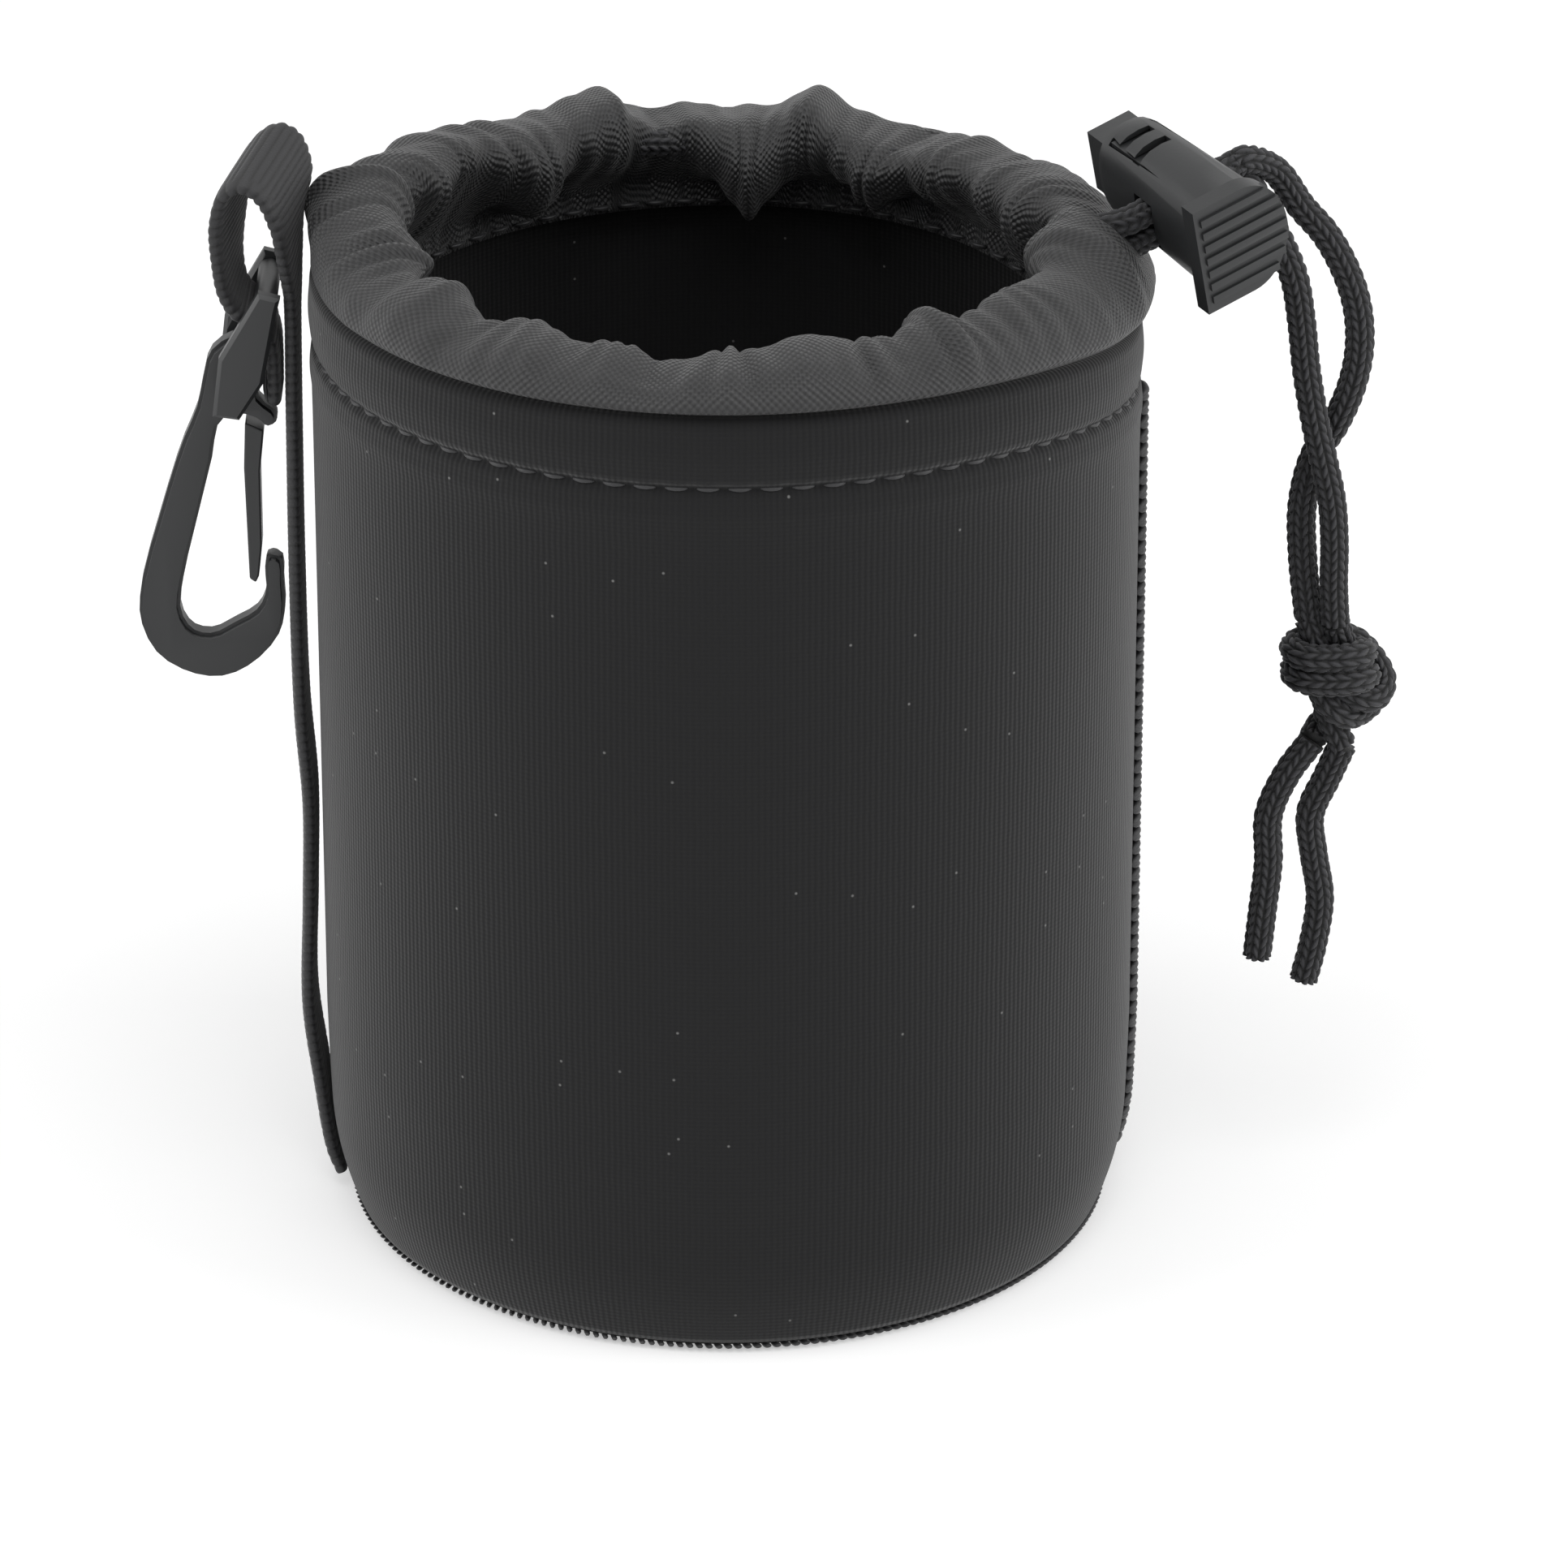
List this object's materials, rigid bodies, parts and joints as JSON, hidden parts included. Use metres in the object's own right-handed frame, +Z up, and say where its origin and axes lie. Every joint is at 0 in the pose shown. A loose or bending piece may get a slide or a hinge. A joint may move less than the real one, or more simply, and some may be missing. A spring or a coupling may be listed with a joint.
{
  "type": "lens pouch",
  "caption": "Round padded neoprene lens pouch with a gathered drawstring collar, cord lock, webbing strap and belt hook.",
  "frame": {"origin": "middle of the base, on the surface the pouch stands on", "axes": "+Z up through the mouth, +X towards the cord lock, -X towards the strap and hook, -Y the front"},
  "size_m": [0.164, 0.1087, 0.1495],
  "materials": {
    "neoprene": "black knit-faced neoprene, velvety, fine upright ribs",
    "oxford": "dark grey woven nylon oxford with a slight sheen",
    "thread": "black spun sewing thread",
    "cord": "black knitted round cord",
    "webbing": "dark grey ribbed webbing",
    "acetal": "dark grey moulded acetal, satin",
    "steel": "bright spring wire"
  },
  "bodies": {
    "pouch": {"side_panel": "neoprene", "bottom_panel": "neoprene", "side_seam": "thread", "bottom_seam": "thread", "hem_stitching": "thread", "collar": "oxford", "collar_stitching": "thread", "strap": "webbing", "strap_bartack": "thread", "drawcord_loop": "cord", "drawcord_strand_outer": "cord", "drawcord_strand_inner": "cord", "drawcord_knot": "cord", "drawcord_tail_left": "cord", "drawcord_tail_right": "cord"},
    "cord_lock": {"lock_shell": "acetal", "lock_spring": "steel"},
    "cord_lock_plunger": {"lock_plunger": "acetal"},
    "belt_hook": {"hook_frame": "acetal"},
    "hook_tongue": {"hook_gate": "acetal"}
  },
  "joints": [
    {"name": "lock_slide", "type": "slide", "parent": "pouch", "child": "cord_lock", "axis": [0.8277, 0.4983, 0.258], "range_m": [0, 0.003]},
    {"name": "plunger_press", "type": "slide", "parent": "cord_lock", "child": "cord_lock_plunger", "axis": [0.5373, -0.8364, -0.1081], "range_m": [0, 0.004], "stiffness_N_per_m": 250, "springref_m": -0.002, "deforming": ["lock_spring"]},
    {"name": "hook_swing", "type": "hinge", "parent": "pouch", "child": "belt_hook", "pos_m": [-0.059, 0, 0.1287], "axis": [0, 1, 0], "range_deg": [0, 95]},
    {"name": "tongue_flex", "type": "hinge", "parent": "belt_hook", "child": "hook_tongue", "pos_m": [-0.0611, 0, 0.1097], "axis": [0, 1, 0], "range_deg": [0, 18], "stiffness_Nm_per_rad": 0.05}
  ]
}
